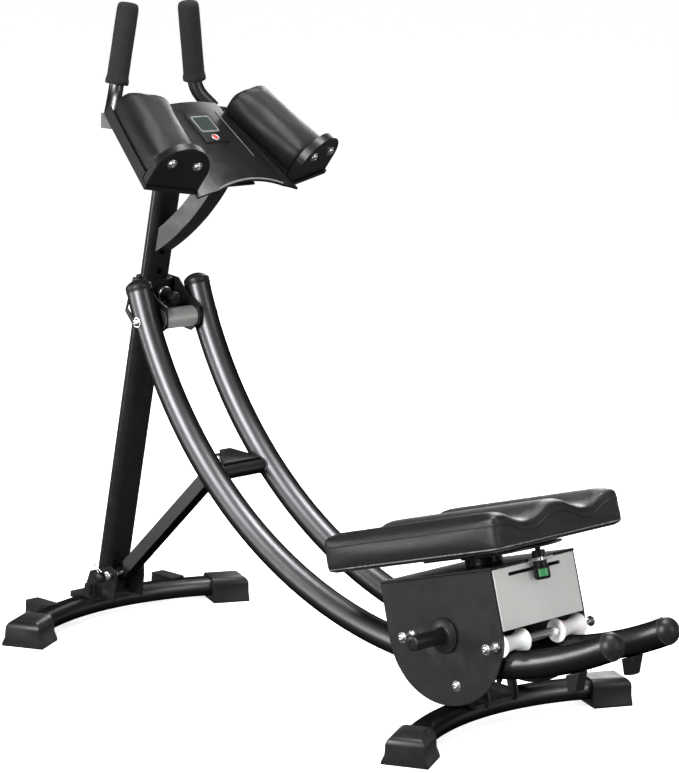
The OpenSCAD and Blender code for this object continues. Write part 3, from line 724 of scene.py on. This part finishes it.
grips()
elbow_pads()
elbow_hardware()
console()
tray_rim()


# ---- seat ----
def trough(y):
    """How far the pad's top dips at that width."""
    t = min(1.0, abs(abs(y) - 82) / 74)
    return 20 * math.cos(t * math.pi / 2) ** 2


def seat():
    """Cushion with two knee troughs, pressed out a little and held along its base."""
    top = SEAT_Z + SEAT_THICK
    bm = bmesh.new()

    def shape(p):
        rise = max(0.0, min(1.0, (p.z - SEAT_Z - 12) / (SEAT_THICK - 12)))
        rise = rise * rise * (3 - 2 * rise)
        return Vector((p.x, p.y, p.z - rise * trough(p.y)))

    low = (SEAT_X0 + 1.5, -SEAT_WIDTH / 2 + 1.5, SEAT_Z + 0.6)
    high = (SEAT_X0 + SEAT_LENGTH - 1.5, SEAT_WIDTH / 2 - 1.5, top - 1)
    rounded_block(bm, low, high, 10, 20, 50, CARRIAGE, shape)
    pad = piece("seat_cushion", bm, "seat_vinyl", BODY["seat_pad"], ("seat_pad",), sharp=80)
    back = (ROW @ CARRIAGE).inverted()
    inflate(pad, 0.005, 0.006, lambda p: (back @ p).z < SEAT_Z + 5)
    for vertex in pad.data.vertices:
        q = back @ vertex.co
        q.z = max(q.z, SEAT_Z + 0.2)
        vertex.co = ROW @ CARRIAGE @ q
    seams(pad, back)


def seams(pad, back):
    """Sewn seam round the top panel, and a staple line round the foot of the cover."""
    corners = [back @ v.co for v in pad.data.vertices]
    tree = BVHTree.FromPolygons(corners, [p.vertices for p in pad.data.polygons])
    centre_x = SEAT_X0 + SEAT_LENGTH / 2

    def ring(height, steps=420):
        points = []
        for k in range(steps):
            a = 2 * math.pi * k / steps
            reach = Vector((math.cos(a) * 300, math.sin(a) * 300, 0))
            start = Vector((centre_x, 0, 0)) + reach
            fit = 1 / max(abs(math.cos(a)) / (SEAT_LENGTH / 2), abs(math.sin(a)) / (SEAT_WIDTH / 2))
            start.z = height(math.sin(a) * fit)
            hit = tree.ray_cast(start, -reach.normalized())
            if hit[0] is not None:
                points.append(CARRIAGE @ hit[0])
        return points

    bm = bmesh.new()
    tube(bm, ring(lambda y: SEAT_Z + SEAT_THICK - 19 - trough(y)), 1.3, closed=True, sides=10)
    piece("seat_piping", bm, "seat_vinyl", BODY["seat_pad"])
    bm = bmesh.new()
    tube(bm, ring(lambda y: SEAT_Z + 7), 1.0, closed=True, sides=8, ripple=0.5, pitch=5)
    piece("seat_hem", bm, "seat_vinyl", BODY["seat_pad"], material=THREAD)


seat()


# ---- stage ----
def floor():
    """Pale floor, left out of reflections so that the undersides of the tubes stay dark."""
    mesh = bpy.data.meshes.new("floor")
    mesh.from_pydata([(-30, -30, 0), (30, -30, 0), (30, 30, 0), (-30, 30, 0)], [], [(0, 1, 2, 3)])
    ob = bpy.data.objects.new("floor", mesh)
    bpy.context.scene.collection.objects.link(ob)
    mesh.materials.append(look("floor_paint", (0.82, 0.82, 0.82), 0.7, 30, 0.0001, spread=0.01,
                               Emission_Color=(1, 1, 1, 1), Emission_Strength=0.80))
    ob.visible_glossy = False


def sky():
    """Pale at the horizon and dim above and below it, so that gloss paint shows the lamps."""
    world = bpy.data.worlds.new("studio")
    bpy.context.scene.world = world
    world.use_nodes = True
    tree = world.node_tree
    split = add(tree, "ShaderNodeSeparateXYZ")
    tree.links.new(add(tree, "ShaderNodeTexCoord").outputs["Generated"], split.inputs["Vector"])
    height = add(tree, "ShaderNodeMath", operation="ABSOLUTE")
    tree.links.new(split.outputs["Z"], height.inputs[0])
    away = between(tree, height.outputs["Value"], 0, 1, 0.02, 0.14)
    colour = mixed(tree, away, (1.0, 1.0, 1.0), (0.08, 0.08, 0.084))
    tree.links.new(colour, tree.nodes["Background"].inputs["Color"])
    tree.nodes["Background"].inputs["Strength"].default_value = 0.95


def lamp(name, place, aim, power, size, size_y):
    light = bpy.data.lights.new(name, "AREA")
    light.shape, light.size, light.size_y, light.energy = "RECTANGLE", size, size_y, power
    ob = bpy.data.objects.new(name, light)
    ob.location = place
    ob.rotation_euler = (Vector(aim) - Vector(place)).to_track_quat("-Z", "Y").to_euler()
    bpy.context.scene.collection.objects.link(ob)


def daylight():
    """Even, soft light that keeps the whole floor pale."""
    light = bpy.data.lights.new("daylight", "SUN")
    light.energy, light.angle = 0.6, math.radians(60)
    ob = bpy.data.objects.new("daylight", light)
    ob.rotation_euler = (math.radians(18), math.radians(24), 0)
    bpy.context.scene.collection.objects.link(ob)


def camera():
    """Three-quarter view from the front right, slightly above the seat, with a long lens."""
    azimuth, elevation, roll = (math.radians(a) for a in (43.41, 10.38, 1.41))
    aim, distance = Vector((-0.05293, 0, 0.55821)), 5.3529
    back = Vector((math.sin(azimuth) * math.cos(elevation), -math.cos(azimuth) * math.cos(elevation),
                   math.sin(elevation)))
    right = Vector((math.cos(azimuth), math.sin(azimuth), 0))
    up = back.cross(right)
    rolled_right = right * math.cos(roll) + up * math.sin(roll)
    rolled_up = up * math.cos(roll) - right * math.sin(roll)
    turned = Matrix((rolled_right, rolled_up, back)).transposed().to_4x4()
    data = bpy.data.cameras.new("camera")
    data.sensor_fit, data.sensor_height, data.lens = "VERTICAL", 36, 134.9
    data.shift_x, data.shift_y = 0.0103, -0.0032
    data.clip_end = 200
    ob = bpy.data.objects.new("camera", data)
    ob.matrix_world = Matrix.Translation(aim + back * distance) @ turned
    bpy.context.scene.collection.objects.link(ob)
    bpy.context.scene.camera = ob


floor()
sky()
lamp("key_box", (0.4, -4.2, 2.3), (0, 0, 0.6), 340, 1.5, 2.8)
lamp("side_strip", (-3.4, -3.5, 1.0), (0, 0, 0.6), 110, 0.7, 1.9)
lamp("fill_box", (4.2, 0.8, 2.2), (0, 0, 0.5), 50, 0.9, 2.4)
lamp("top_box", (0.2, 0.3, 4.2), (0, 0, 0.4), 170, 1.2, 1.4)
lamp("rim_strip", (-2.3, 3.7, 2.4), (-0.2, 0, 0.3), 85, 1.4, 2.8)
daylight()
camera()
bpy.context.scene.view_settings.view_transform = "Standard"
